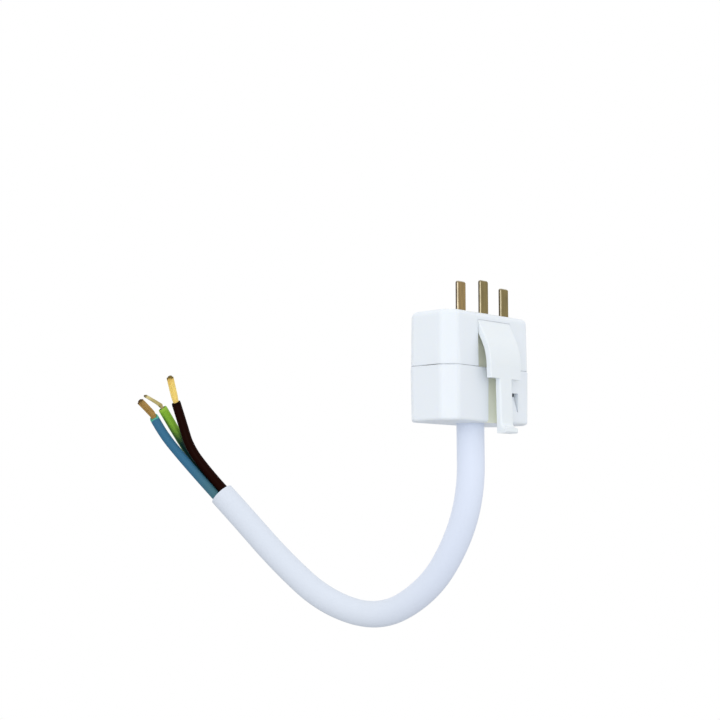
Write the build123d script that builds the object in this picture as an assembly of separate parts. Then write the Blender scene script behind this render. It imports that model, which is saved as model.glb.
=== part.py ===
from build123d import *
import os
from math import cos, pi, radians, sin, sqrt, tan

# Ceiling light plug with three flat blades, a barbed latch on one broad side and a short cord.
# Millimetres. +Z points up along the blades, with the origin at the centre of the seating face.
# X runs along the row of blades, and the latch is on the -Y side.

# Housing, measured at the split between the two shells
length = 38.6
width = 17.8
corner_leg = 3.7
corner_round = 2.0
draft = 0.8
base_height = 15.6
cover_height = 15.5
cover_step = 0.12
top_thickness = 2.6
base_wall = 2.5
cover_wall = 1.6
bottom_thickness = 2.0
top_round = 1.6
bottom_round = 0.8
split_bevel = 0.25
tongue_height = 1.5
tongue_root = 1.0
tongue_clearance = 0.1
inner_round = 0.5

# Blades, pressed from strip, with a foot that turns in under the seating face
blade_pitch = 9.8
earth_to_backing = 0.05
earth_set_out = 0.3
blade_width = 3.75
blade_thickness = 1.0
blade_height = 8.65
earth_height = 9.95
blade_chamfer = 0.25
chamfer_foot = 0.02
tip_round = 0.6
slot_clearance = 0.06
bend_round = 1.3
bend_relief = 1.0
bend_relief_depth = 0.6
foot_width = 6.4
foot_reach = 1.2
foot_notch = 0.6

# Terminals: a screw and a square washer clamp each conductor under the blade's foot
screw_y = -1.6
screw_radius = 1.5
screw_head_radius = 2.0
screw_head_height = 1.8
screw_tip_above_foot = 1.0
slot_width = 0.7
slot_depth = 0.9
hole_clearance = 0.05
washer_size = 6.2
washer_depth = 5.0
washer_thickness = 0.8
washer_hole_clearance = 0.1
conductor_clearance = 0.05
conductor_side_gap = 0.1
screw_pocket_clearance = 0.3
screw_tip_clearance = 0.4

# Walls between the poles, and the legs that hang from them
barrier_x = 5.0
barrier_thickness = 1.4
barrier_bottom = -10.4
leg_front_y = -5.4
leg_back_y = -0.6

# Cord grip: a saddle on the legs, and a bar held by two screws
saddle_half_length = 8.4
grip_height = 5.6
grip_top = -19.6
grip_clearance = 0.05
grip_lead_in = 0.5
sheath_above_grip = 0.8
bar_gap = 1.2
bar_ear_thickness = 2.6
bar_arch_thickness = 1.1
bar_half_length = 8.5
grip_screw_x = 6.6
grip_screw_radius = 1.25
grip_screw_length = 6.8
grip_head_radius = 2.1
grip_head_height = 1.5
pilot_floor = 0.6

# Latch: a lever with a barbed wing and a finger tab, on trunnions in the base shell
latch_x = 0.4
latch_proud = 4.0
latch_root_z = -2.3
latch_ramp_angle = 26.0
latch_curve_radius = 17.1
latch_curve_end_z = -15.0
wing_thickness = 1.6
wing_half_top = 7.3
wing_half_bottom = 6.7
wing_edge_round = 0.25
shoulder_z = -18.9
tab_half_width = 2.8
tab_thickness = 1.6
tab_lean = 0.3
tab_end_z = -34.3
tab_edge_round = 0.6
lip_height = 1.5
lip_reach = 1.5
lip_round = 0.4
trunnion_radius = 0.9
trunnion_z = -4.6
trunnion_inset = 1.33
trunnion_length = 1.0
trunnion_clearance = 0.05
trunnion_end_clearance = 0.2
trunnion_end_wall = 0.8
latch_top_gap = 0.08
latch_back_gap = 0.15
leaf_width = 5.0
leaf_thickness = 0.7
leaf_root_depth = 0.3
leaf_root_drop = 0.9
leaf_top_z = -8.6
leaf_tip_z = -12.6
leaf_tip_gap = 1.6

# Recess for the latch in both shells
recess_half_width = 7.4
recess_depth = 2.0
recess_back_wall = 1.2
recess_back_start = 1.0
tab_recess_half_width = 3.15

# Snap fingers of the cover, one on each broad side, and the ledges of the base that they catch
snap_x = 9.2
window_width = 3.6
window_top = -22.25
window_bottom = -27.7
window_overcut = 0.3
finger_gap = 0.4
finger_thickness = 1.1
finger_set_in = 0.1
finger_root = 0.3
finger_lean = 1.2
finger_tip_gap = 0.9
hook_reach = 0.7
hook_rise = 0.36
hook_tip_share = 0.4
hook_root = 0.35
ledge_above_window = 2.0
ledge_height = 1.2
ledge_reach = 1.0
ledge_clearance = 0.1
snap_leg_thickness = 0.9
snap_leg_root_z = -9.0
snap_leg_overlap = 0.5

# Cord and its three cores
cord_diameter = 8.0
exit_clearance = 0.15
exit_round = 0.5
core_diameter = 3.0
core_circle = 1.8
conductor_diameter = 1.6
sheath_top = grip_top + sheath_above_grip

# Route of the sheath, from its cut end inside the housing to its cut end in the air
cord_route = [
    (0.0, 0.0, sheath_top),
    (0.0, 0.0, -34.0),
    (0.8, 0.5, -50.0),
    (3.3, 7.5, -64.5),
    (5.7, 20.6, -79.2),
    (4.6, 39.3, -88.9),
    (-2.4, 56.2, -84.2),
    (-8.2, 70.6, -71.5),
    (-14.2, 82.4, -57.6),
    (-17.4, 88.5, -50.6),
]

# Each core leaves the sheath's cut face square to it, for this length, and goes on through its points
brown_straight = 7.0
brown_route = [(-24.2, 96.5, -35.9), (-25.6, 98.6, -28.0), (-26.8, 100.7, -21.0)]
brown_tip = (-28.0, 102.7, -12.2)
blue_straight = 6.0
blue_route = [(-25.9, 98.6, -38.6), (-29.6, 103.8, -31.1), (-31.4, 106.2, -25.8)]
blue_tip = (-34.4, 110.3, -20.2)
earth_straight = 8.0
earth_route = [(-22.2, 99.6, -36.9), (-25.0, 103.6, -29.3), (-27.4, 106.9, -22.6)]
earth_tip = (-31.1, 111.9, -18.3)
strand_lead = 1.6

# How much of the shorter run beside it a bend takes at each end
run_share = 0.45

# Leads inside the housing
lead_rise = 2.6
lead_y = 2.8
lead_turn_z = -11.6
lead_end_z = -7.0
earth_rise = 5.0
earth_turn_z = -10.8
conductor_end_y = -3.6
conductor_bend = 1.6

# The way that the cores are seen from, which sets how they lie round the cut end's middle
seen_along = (0.719, 0.687, 0.107)

split_z = -base_height
bottom_z = split_z - cover_height
cord_radius = cord_diameter / 2
slope = tan(radians(draft))
foot_bottom = -top_thickness - blade_thickness
conductor_z = foot_bottom - conductor_clearance - conductor_diameter / 2
washer_top = conductor_z - conductor_diameter / 2 - conductor_clearance
head_top = washer_top - washer_thickness
head_bottom = head_top - screw_head_height
conductor_offset = screw_radius + conductor_diameter / 2 + conductor_side_gap
latch_outer_y = -width / 2 - latch_proud
recess_floor_y = -width / 2 + recess_depth
earth_y = recess_floor_y + recess_back_wall + earth_to_backing + blade_thickness / 2
blade_y = earth_y + earth_set_out
poles = {-blade_pitch: blade_y, 0.0: earth_y, blade_pitch: blade_y}
hook_y = -width / 2 + finger_thickness + finger_lean + hook_reach
ledge_top = window_bottom + ledge_above_window + ledge_height


def box(x, y, z):
    """A box between two values along each axis."""
    size = [high - low for low, high in (x, y, z)]
    middle = [(high + low) / 2 for low, high in (x, y, z)]
    return Pos(*middle) * Box(*size)


def face_y(z):
    """Where the broad face of the base shell on the latch side is, at a height above the split."""
    return -width / 2 + (z - split_z) * slope


def outline(inset, height):
    """The housing's outline at a height, drawn in from its widest line by an inset."""
    plain = Rectangle(length - 2 * inset, width - 2 * inset)
    cut = chamfer(plain.vertices(), corner_leg - inset * (2 - sqrt(2)))
    soft = fillet(cut.vertices(), max(corner_round - inset, inner_round))
    return Pos(0, 0, height) * soft


def block(low_z, low_inset, high_z, high_inset):
    """A length of the housing's form, with its outline drawn in at each end."""
    return loft([outline(low_inset, low_z), outline(high_inset, high_z)])


def pin_along_x(radius, x, y, z):
    """A round pin along X."""
    start = Plane(origin=(x[0], y, z), z_dir=(1, 0, 0))
    return extrude(start * Circle(radius), amount=x[1] - x[0])


def pin_along_y(radius, y, x, z):
    """A round pin along Y."""
    start = Plane(origin=(x, y[0], z), z_dir=(0, 1, 0))
    return extrude(start * Circle(radius), amount=y[1] - y[0])


def pin_along_z(radius, z, x, y):
    """A round pin along Z."""
    return extrude(Pos(x, y, z[0]) * Circle(radius), amount=z[1] - z[0])


def drawn_across_x(points, x):
    """A solid whose side view in Y and Z is a polygon, between two values of X."""
    plane = Plane(origin=(x[0], 0, 0), x_dir=(0, 1, 0), z_dir=(1, 0, 0))
    return extrude(plane * make_face(Polyline(*points, close=True)), amount=x[1] - x[0])


def turned_round(shape):
    """The same shape on the other broad side."""
    return Rot(0, 0, 180) * shape


def latch_recess():
    """The shallow recess that the wing and the trunnions sit in, cut from the base shell."""
    x = (latch_x - recess_half_width, latch_x + recess_half_width)
    hollow = box(x, (-width, recess_floor_y), (split_z, latch_root_z + latch_top_gap))
    axle_y = face_y(trunnion_z) + trunnion_inset
    groove = pin_along_x(trunnion_radius + latch_back_gap, x, axle_y, trunnion_z)
    reach = wing_half_top + trunnion_length + trunnion_end_clearance
    sockets = pin_along_x(
        trunnion_radius + trunnion_clearance, (latch_x - reach, latch_x + reach), axle_y, trunnion_z
    )
    return hollow + groove + sockets


def recess_backing(half_width, z):
    """The wall that closes a recess on its inside."""
    y = (-width / 2 + recess_back_start, recess_floor_y + recess_back_wall)
    return box((latch_x - half_width, latch_x + half_width), y, z)


def snap_leg():
    """A leg of the base that reaches into the cover, with the ledge that a snap finger catches."""
    half = window_width / 2 - finger_gap - ledge_clearance
    x = (snap_x - half, snap_x + half)
    outer_y = hook_y + ledge_clearance
    inner_y = outer_y + snap_leg_thickness
    ledge_bottom = ledge_top - ledge_height
    leg = box(x, (outer_y, inner_y), (ledge_bottom, snap_leg_root_z))
    root_y = -width / 2 + base_wall - snap_leg_overlap
    root = box(x, (root_y, inner_y), (split_z + snap_leg_overlap, snap_leg_root_z))
    ledge = drawn_across_x(
        [
            (outer_y, ledge_top),
            (outer_y - ledge_reach, ledge_top),
            (outer_y - ledge_reach, ledge_top - ledge_height / 2),
            (outer_y, ledge_bottom),
        ],
        x,
    )
    return leg + root + ledge


def base_shell():
    """The upper shell: seating face, blade slots, latch recess, walls between poles, and cord saddle."""
    top_inset = base_height * slope
    body = block(split_z, 0, 0, top_inset)
    body = fillet(body.edges().group_by(Axis.Z)[-1], top_round)
    body = chamfer(body.edges().group_by(Axis.Z)[0], split_bevel)
    tongue_inset = cover_wall + tongue_clearance
    body += block(split_z - tongue_height, tongue_inset, split_z + tongue_root, tongue_inset)
    backing_half = recess_half_width + trunnion_length + trunnion_end_clearance + trunnion_end_wall
    backing = recess_backing(backing_half, (split_z, -top_thickness))
    cavity = block(split_z - tongue_height, base_wall, -top_thickness, base_wall + top_inset)
    body -= cavity - backing
    gap_half = tab_recess_half_width + cover_wall + tongue_clearance
    gap_x = (latch_x - gap_half, latch_x + gap_half)
    body -= box(gap_x, (-width, -width / 4), (split_z - tongue_height, split_z))
    for x in (-barrier_x, barrier_x):
        side = (x - barrier_thickness / 2, x + barrier_thickness / 2)
        reach = width / 2 - base_wall
        body += box(side, (-reach, reach), (barrier_bottom, -top_thickness))
        body += box(side, (leg_front_y, leg_back_y), (grip_top, barrier_bottom))
    saddle_z = (grip_top - grip_height, grip_top)
    body += box((-saddle_half_length, saddle_half_length), (leg_front_y, leg_back_y), saddle_z)
    cradle_z = (grip_top - grip_height, sheath_top + grip_lead_in)
    body -= pin_along_z(cord_radius + grip_clearance, cradle_z, 0, 0)
    for x in (-grip_screw_x, grip_screw_x):
        pilot = (leg_front_y + pilot_floor, leg_back_y)
        body -= pin_along_y(grip_screw_radius + hole_clearance, pilot, x, grip_top - grip_height / 2)
    body += snap_leg() + turned_round(snap_leg())
    body -= latch_recess()
    half_slot = blade_width / 2 + slot_clearance
    half_thick = blade_thickness / 2 + slot_clearance
    for x, y in poles.items():
        slot_x = (x - half_slot, x + half_slot)
        body -= box(slot_x, (y - half_thick, y + half_thick), (-top_thickness, 0))
        relief_z = (-top_thickness, -top_thickness + bend_relief_depth)
        body -= box(slot_x, (y, y + half_thick + bend_relief), relief_z)
        pocket = (-top_thickness, -top_thickness + screw_tip_above_foot + screw_tip_clearance)
        body -= pin_along_z(screw_radius + screw_pocket_clearance, pocket, x, screw_y)
    return body


def snap_window():
    """The opening round a snap finger, right through the cover's wall."""
    x = (snap_x - window_width / 2, snap_x + window_width / 2)
    return box(x, (-width, -width / 2 + cover_wall + window_overcut), (window_bottom, window_top))


def snap_finger():
    """A finger rooted at the window's lower edge, leaning in, with a hook at its upper end."""
    half = window_width / 2 - finger_gap
    x = (snap_x - half, snap_x + half)
    root_y = -width / 2 + finger_set_in
    root_z = window_bottom - finger_root
    tip_y = root_y + finger_lean
    tip_z = window_top - finger_tip_gap
    inner_root = root_y + finger_thickness
    inner_tip = tip_y + finger_thickness
    under_hook = ledge_top + ledge_clearance
    return drawn_across_x(
        [
            (root_y, root_z),
            (root_y, window_bottom),
            (tip_y, tip_z),
            (inner_tip + hook_reach * hook_tip_share, tip_z),
            (hook_y, under_hook + hook_rise),
            (hook_y, under_hook),
            (inner_tip - hook_root, under_hook),
            (inner_root, window_bottom),
            (inner_root, root_z),
        ],
        x,
    )


def cover_shell():
    """The lower shell: a cup with the cord's exit, the tab's recess and two snap fingers."""
    low_inset = cover_height * slope - cover_step
    body = block(bottom_z, low_inset, split_z, -cover_step)
    body = fillet(body.edges().group_by(Axis.Z)[0], bottom_round)
    body = chamfer(body.edges().group_by(Axis.Z)[-1], split_bevel)
    backing = recess_backing(tab_recess_half_width + cover_wall, (bottom_z, split_z))
    cavity = block(bottom_z + bottom_thickness, cover_wall + low_inset, split_z, cover_wall)
    body -= cavity - backing
    half = tab_recess_half_width
    body -= box((latch_x - half, latch_x + half), (-width, recess_floor_y), (bottom_z, split_z))
    body -= pin_along_z(cord_radius + exit_clearance, (bottom_z, bottom_z + bottom_thickness), 0, 0)
    mouth = body.edges().filter_by(GeomType.CIRCLE).group_by(Axis.Z)[0]
    body = fillet(mouth.filter_by(lambda e: abs(e.radius - cord_radius - exit_clearance) < 0.01), exit_round)
    body -= snap_window() + turned_round(snap_window())
    body += snap_finger() + turned_round(snap_finger())
    return body


def blade(x, height):
    """A flat blade with chamfered edges and a rounded tip, and the foot that takes the conductor."""
    low_y = poles[x] - blade_thickness / 2
    high_y = poles[x] + blade_thickness / 2
    half = blade_width / 2
    across = (x - half, x + half)
    upper = box(across, (low_y, high_y), (chamfer_foot, height))
    upper = fillet(upper.edges().group_by(Axis.Z)[-1].filter_by(Axis.Y), tip_round)
    rims = upper.faces().filter_by(Axis.Y).edges()
    upper = chamfer(rims.filter_by(lambda e: e.center().Z > chamfer_foot + blade_chamfer), blade_chamfer)
    lower = box(across, (low_y, high_y), (foot_bottom, chamfer_foot))
    sole = box(across, (low_y, foot_reach), (foot_bottom, -top_thickness))
    bend = lower + sole
    outer = bend.edges().filter_by(Axis.X).sort_by(lambda e: e.center().Y + e.center().Z)[0]
    bend = fillet(outer, bend_round)
    pad_half = foot_width / 2
    pad_x = (x - pad_half, x + pad_half)
    pad = box(pad_x, (high_y + foot_notch, foot_reach), (foot_bottom, -top_thickness))
    hole = pin_along_z(screw_radius + hole_clearance, (foot_bottom, -top_thickness), x, screw_y)
    return upper + bend + pad - hole


def terminal_screw(x):
    """A slotted terminal screw, head down."""
    tip = -top_thickness + screw_tip_above_foot
    shank = pin_along_z(screw_radius, (head_top, tip), x, screw_y)
    head = pin_along_z(screw_head_radius, (head_bottom, head_top), x, screw_y)
    head = fillet(head.edges().group_by(Axis.Z)[0], screw_head_height / 4)
    half = slot_width / 2
    slot_x = (x - screw_head_radius, x + screw_head_radius)
    slot_z = (head_bottom, head_bottom + slot_depth)
    slot = box(slot_x, (screw_y - half, screw_y + half), slot_z)
    return shank + head - slot


def terminal_washer(x):
    """A square washer that presses the conductor against the blade's foot."""
    half = washer_size / 2
    deep = washer_depth / 2
    plate = box((x - half, x + half), (screw_y - deep, screw_y + deep), (head_top, washer_top))
    return plate - pin_along_z(screw_radius + washer_hole_clearance, (head_top, washer_top), x, screw_y)


def cord_clamp_bar():
    """The bar that arches over the cord, with an ear at each end."""
    back_y = leg_back_y + bar_gap
    ear_y = back_y + bar_ear_thickness
    arch = Circle(cord_radius + grip_clearance + bar_arch_thickness)
    ears = Pos(0, (back_y + ear_y) / 2) * Rectangle(2 * bar_half_length, bar_ear_thickness)
    front = Pos(0, back_y + width / 2) * Rectangle(length, width)
    shape = (arch + ears) & front
    shape -= Circle(cord_radius + grip_clearance)
    bar = extrude(Pos(0, 0, grip_top - grip_height) * shape, amount=grip_height)
    for x in (-grip_screw_x, grip_screw_x):
        hole = (back_y, ear_y)
        bar -= pin_along_y(grip_screw_radius + 2 * hole_clearance, hole, x, grip_top - grip_height / 2)
    return bar


def cord_clamp_screw(x):
    """A pan head screw that pulls the bar towards the saddle."""
    seat_y = leg_back_y + bar_gap + bar_ear_thickness
    z = grip_top - grip_height / 2
    shank = pin_along_y(grip_screw_radius, (seat_y - grip_screw_length, seat_y), x, z)
    head = pin_along_y(grip_head_radius, (seat_y, seat_y + grip_head_height), x, z)
    head = fillet(head.edges().group_by(Axis.Y)[-1], grip_head_height / 3)
    half = slot_width / 2
    top = seat_y + grip_head_height
    slot_z = (z - grip_head_radius, z + grip_head_radius)
    slot = box((x - half, x + half), (top - grip_head_height / 2, top), slot_z)
    return shank + head - slot


def wing_outline():
    """The wing seen from the front, narrower towards its shoulders."""
    points = [
        (latch_x - wing_half_top, latch_root_z),
        (latch_x + wing_half_top, latch_root_z),
        (latch_x + wing_half_bottom, shoulder_z),
        (latch_x - wing_half_bottom, shoulder_z),
    ]
    plane = Plane(origin=(0, 0, 0), x_dir=(1, 0, 0), z_dir=(0, -1, 0))
    return extrude(plane * make_face(Polyline(*points, close=True)), amount=width)


def on_latch_curve(radius, angle):
    """A point of the latch's curve, seen from the side, at an angle above where the curve ends."""
    return (latch_outer_y + latch_curve_radius - radius * cos(angle), latch_curve_end_z + radius * sin(angle))


def latch_side_view():
    """The latch seen from the side: ramp, curve, straight wing, leaning tab, and its flared lip."""
    angle = radians(latch_ramp_angle)
    inner_radius = latch_curve_radius - wing_thickness
    knee = on_latch_curve(latch_curve_radius, angle)
    middle = on_latch_curve(latch_curve_radius, angle / 2)
    inner_knee = on_latch_curve(inner_radius, angle)
    inner_middle = on_latch_curve(inner_radius, angle / 2)
    flush_y = face_y(latch_root_z)
    flush_z = knee[1] + (flush_y - knee[0]) / tan(angle)
    back_y = recess_floor_y - latch_back_gap
    back_z = inner_knee[1] + (back_y - inner_knee[0]) / tan(angle)
    wing_back = latch_outer_y + wing_thickness
    tab_back = latch_outer_y + tab_thickness
    tab_front_end = latch_outer_y - tab_lean
    flare_z = tab_end_z + lip_height + lip_reach
    lip_y = tab_front_end - lip_reach
    along_tab = (-tab_lean, flare_z - shoulder_z)
    pieces = [
        Line((flush_y, latch_root_z), (flush_y, flush_z)),
        Line((flush_y, flush_z), knee),
        ThreePointArc(knee, middle, (latch_outer_y, latch_curve_end_z)),
        Line((latch_outer_y, latch_curve_end_z), (latch_outer_y, shoulder_z)),
        Line((latch_outer_y, shoulder_z), (tab_front_end, flare_z)),
        TangentArc((tab_front_end, flare_z), (lip_y, tab_end_z + lip_height), tangent=along_tab),
        Line((lip_y, tab_end_z + lip_height), (lip_y, tab_end_z + lip_round)),
        Line((lip_y, tab_end_z + lip_round), (lip_y + lip_round, tab_end_z)),
        Line((lip_y + lip_round, tab_end_z), (tab_back - tab_lean, tab_end_z)),
        Line((tab_back - tab_lean, tab_end_z), (tab_back, shoulder_z)),
        Line((tab_back, shoulder_z), (wing_back, latch_curve_end_z)),
        ThreePointArc((wing_back, latch_curve_end_z), inner_middle, inner_knee),
        Line(inner_knee, (back_y, back_z)),
        Line((back_y, back_z), (back_y, latch_root_z)),
        Line((back_y, latch_root_z), (flush_y, latch_root_z)),
    ]
    plane = Plane(origin=(latch_x - width, 0, 0), x_dir=(0, 1, 0), z_dir=(1, 0, 0))
    return extrude(plane * make_face(Curve() + pieces), amount=2 * width)


def latch_leaf():
    """The leaf that springs against the recess."""
    inner_radius = latch_curve_radius - wing_thickness
    root = on_latch_curve(inner_radius, (leaf_top_z - latch_curve_end_z) / inner_radius)
    root_y = root[0] - leaf_root_depth
    tip_y = recess_floor_y - leaf_tip_gap
    return drawn_across_x(
        [
            (root_y, leaf_top_z),
            (tip_y, leaf_tip_z),
            (tip_y - leaf_thickness, leaf_tip_z),
            (root_y - leaf_thickness, leaf_top_z - leaf_root_drop),
        ],
        (latch_x - leaf_width / 2, latch_x + leaf_width / 2),
    )


def round_front(plate, thickness, radius):
    """A length of the latch with the long edges of its front rounded."""
    sides = plate.faces().sort_by(Axis.X)
    rims = sides[0].edges() + sides[-1].edges()
    front = rims.filter_by(lambda e: e.center().Y < latch_outer_y + thickness / 2)
    return fillet(front.filter_by(lambda e: e.length > 2 * thickness), radius)


def latch_lever():
    """The latch: its wing, its tab, its trunnions, and its spring leaf."""
    side_view = latch_side_view()
    wing = round_front(wing_outline() & side_view, wing_thickness, wing_edge_round)
    tab_x = (latch_x - tab_half_width, latch_x + tab_half_width)
    tab = box(tab_x, (-width, 0), (tab_end_z, shoulder_z)) & side_view
    tab = round_front(tab, tab_thickness, tab_edge_round)
    axle_y = face_y(trunnion_z) + trunnion_inset
    reach = wing_half_top + trunnion_length
    axle = pin_along_x(trunnion_radius, (latch_x - reach, latch_x + reach), axle_y, trunnion_z)
    return wing + tab + axle + latch_leaf()


def smooth_path(points):
    """Straight runs joined by arcs that take a share of the runs beside them, and the arcs' radii."""
    spots = [Vector(*p) for p in points]
    runs = [b - a for a, b in zip(spots, spots[1:])]
    radii = []
    for before, after in zip(runs, runs[1:]):
        half_turn = radians(before.get_angle(after)) / 2
        radii.append(run_share * min(before.length, after.length) / tan(half_turn))
    return FilletPolyline(*spots, radius=radii), radii


def tube(points, diameter, name):
    """A round tube along a route, with its bend radii and its volume against section times length."""
    if len(points) == 2:
        path = Line(*points)
        radii = []
    else:
        path, radii = smooth_path(points)
    start = Plane(origin=path @ 0, z_dir=path % 0)
    solid = sweep(start * Circle(diameter / 2), path=path)
    share = solid.volume / (pi * diameter**2 / 4 * path.length)
    print(name, "length", round(path.length, 1), "volume", round(share, 4))
    print(name, "radii", [round(r, 1) for r in radii])
    return solid


def cut_face():
    """The middle of the sheath's cut end, its direction, and two directions across it."""
    end = Vector(*cord_route[-1])
    out = (end - Vector(*cord_route[-2])).normalized()
    seen = Vector(*seen_along)
    behind = (seen - out * out.dot(seen)).normalized()
    return end, out, behind, out.cross(behind)


def core_start(turn):
    """Where a core leaves the cut face, by its angle round the sheath's middle."""
    end, out, behind, beside = cut_face()
    return end + behind * (core_circle * cos(radians(turn))) + beside * (core_circle * sin(radians(turn)))


def core(turn, straight, route, name):
    """One insulated core, from the cut face to where its insulation is stripped."""
    start = core_start(turn)
    points = [start, start + cut_face()[1] * straight] + [Vector(*p) for p in route]
    return tube(points, core_diameter, name)


def stripped_end(route, tip, name):
    """The bare conductor past the insulation: it goes straight on and then bends towards its tip."""
    before = Vector(*route[-2])
    start = Vector(*route[-1])
    lead = start + (start - before).normalized() * strand_lead
    return tube([start, lead, Vector(*tip)], conductor_diameter, name)


def inner_lead(turn, x, rise, turn_z, name):
    """An insulated core inside the housing, from the sheath's end up to beside its terminal."""
    start = Vector(core_circle * cos(radians(turn)), core_circle * sin(radians(turn)), sheath_top)
    points = [start, start + Vector(0, 0, rise), Vector(x, lead_y, turn_z), Vector(x, lead_y, lead_end_z)]
    return tube(points, core_diameter, name)


def inner_end(x, name):
    """The bare conductor inside the housing: up, and then across under the blade's foot."""
    points = [(x, lead_y, lead_end_z), (x, lead_y, conductor_z), (x, conductor_end_y, conductor_z)]
    corner = FilletPolyline(*points, radius=conductor_bend)
    start = Plane(origin=corner @ 0, z_dir=corner % 0)
    print(name, "length", round(corner.length, 1))
    return sweep(start * Circle(conductor_diameter / 2), path=corner)


live_x = -blade_pitch + conductor_offset
neutral_x = blade_pitch - conductor_offset
earth_x = conductor_offset

nodes = {
    "base_shell": base_shell(),
    "cover_shell": cover_shell(),
    "latch_lever": latch_lever(),
    "blade_live": blade(-blade_pitch, blade_height),
    "blade_earth": blade(0.0, earth_height),
    "blade_neutral": blade(blade_pitch, blade_height),
    "terminal_screws": Compound(children=[terminal_screw(x) for x in poles]),
    "terminal_washers": Compound(children=[terminal_washer(x) for x in poles]),
    "cord_clamp_bar": cord_clamp_bar(),
    "cord_clamp_screws": Compound(
        children=[cord_clamp_screw(x) for x in (-grip_screw_x, grip_screw_x)]
    ),
    "cord_sheath": tube(cord_route, cord_diameter, "cord_sheath"),
    "core_brown": core(240, brown_straight, brown_route, "core_brown"),
    "core_blue": core(120, blue_straight, blue_route, "core_blue"),
    "core_green_yellow": core(0, earth_straight, earth_route, "core_green_yellow"),
    "wire_end_brown": stripped_end(brown_route, brown_tip, "wire_end_brown"),
    "wire_end_blue": stripped_end(blue_route, blue_tip, "wire_end_blue"),
    "wire_end_green_yellow": stripped_end(earth_route, earth_tip, "wire_end_green_yellow"),
    "lead_live": inner_lead(150, live_x, lead_rise, lead_turn_z, "lead_live"),
    "lead_neutral": inner_lead(30, neutral_x, lead_rise, lead_turn_z, "lead_neutral"),
    "lead_earth": inner_lead(270, earth_x, earth_rise, earth_turn_z, "lead_earth"),
    "lead_end_live": inner_end(live_x, "lead_end_live"),
    "lead_end_neutral": inner_end(neutral_x, "lead_end_neutral"),
    "lead_end_earth": inner_end(earth_x, "lead_end_earth"),
}

os.makedirs("parts", exist_ok=True)
for name, shape in nodes.items():
    export_step(shape, f"parts/{name}.step")
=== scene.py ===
"""Looks of a ceiling light plug: white moulded shells, a latch lever, brass blades and a cord.

The script works in metres in the part's own frame. The origin is the centre of the seating face,
+Z points up along the blades, X runs along their row, and the latch is on the -Y side.
"""

from __future__ import annotations

import logging
import math
from collections.abc import Callable, Mapping, Sequence
from dataclasses import dataclass, replace
from enum import Enum
from functools import partial

import bpy
from mathutils import Matrix, Vector

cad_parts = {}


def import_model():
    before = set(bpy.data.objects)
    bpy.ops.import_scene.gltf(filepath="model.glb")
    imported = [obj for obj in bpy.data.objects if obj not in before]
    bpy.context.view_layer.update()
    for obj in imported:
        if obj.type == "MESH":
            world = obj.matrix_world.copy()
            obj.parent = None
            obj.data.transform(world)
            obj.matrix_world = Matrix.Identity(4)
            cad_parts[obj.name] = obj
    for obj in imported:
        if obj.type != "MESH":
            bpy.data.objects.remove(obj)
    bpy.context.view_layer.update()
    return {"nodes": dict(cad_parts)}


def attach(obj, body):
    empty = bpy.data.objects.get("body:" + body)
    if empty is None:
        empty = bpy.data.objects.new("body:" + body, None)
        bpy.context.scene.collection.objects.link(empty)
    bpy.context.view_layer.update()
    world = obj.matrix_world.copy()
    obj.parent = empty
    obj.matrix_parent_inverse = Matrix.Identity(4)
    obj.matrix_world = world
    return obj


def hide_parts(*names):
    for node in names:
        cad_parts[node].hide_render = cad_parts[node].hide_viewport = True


MM = 0.001
WHITE = (1.0, 1.0, 1.0, 1.0)
# Nearly all values of a noise texture lie between these two.
NOISE_LOW, NOISE_HIGH = 0.3, 0.7
GOLDEN_ANGLE = math.pi * (3 - math.sqrt(5))
# The names under which meshes carry what their materials read.
TUBE_MAP = "around_and_along"
ALONG_STRAND = "along_strand"

log = logging.getLogger("ceiling_light_plug")

Point = tuple[float, float, float]
Limits = tuple[float, float]
Rings = list[tuple[int, float]]
Node = bpy.types.Node
Socket = bpy.types.NodeSocket
Material = bpy.types.Material
Object = bpy.types.Object
# What adds a node to one tree: add_node with its tree given.
Adder = Callable[..., Node]


def linear(hex_colour: str) -> tuple[float, float, float, float]:
    """Turns an sRGB hex colour into the linear values that shaders take.

    Args:
        hex_colour: A colour such as "#EBEFF6".

    Returns:
        Red, green, blue and an alpha of 1.
    """
    parts = [int(hex_colour[i : i + 2], 16) / 255 for i in (1, 3, 5)]
    red, green, blue = (c / 12.92 if c <= 0.04045 else ((c + 0.055) / 1.055) ** 2.4 for c in parts)
    return red, green, blue, 1.0


def add_node(
    tree: bpy.types.NodeTree, kind: str, inputs: Sequence | Mapping = (), **settings: object
) -> Node:
    """Adds a node with its settings and links.

    Args:
        tree: The node tree.
        kind: The node's type name.
        inputs: What the node's sockets get, by name, or in order for the sockets in use. That is a
            value, a socket to link, or a node to link by its first output in use.
        **settings: The node's own options.

    Returns:
        The new node.
    """
    node = tree.nodes.new(kind)
    for option, value in settings.items():
        setattr(node, option, value)
    if isinstance(inputs, Mapping):
        pairs = [(node.inputs[name], value) for name, value in inputs.items()]
    else:
        pairs = list(zip((socket for socket in node.inputs if socket.enabled), inputs))
    for socket, value in pairs:
        if isinstance(value, Node):
            value = next(output for output in value.outputs if output.enabled)
        if isinstance(value, Socket):
            tree.links.new(value, socket)
        else:
            socket.default_value = value
    return node


def blank_material(name: str) -> tuple[Material, Adder]:
    """Makes an empty node material.

    Args:
        name: The material's name.

    Returns:
        The material, and what adds a node to it.
    """
    material = bpy.data.materials.new(name)
    material.use_nodes = True
    material.node_tree.nodes.clear()
    return material, partial(add_node, material.node_tree)


def placed(name: str, data: bpy.types.ID) -> Object:
    """Makes an object at the origin and links it to the scene.

    Args:
        name: The object's name.
        data: Its mesh, curve, light or camera.

    Returns:
        The object.
    """
    made = bpy.data.objects.new(name, data)
    bpy.context.scene.collection.objects.link(made)
    return made


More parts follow.
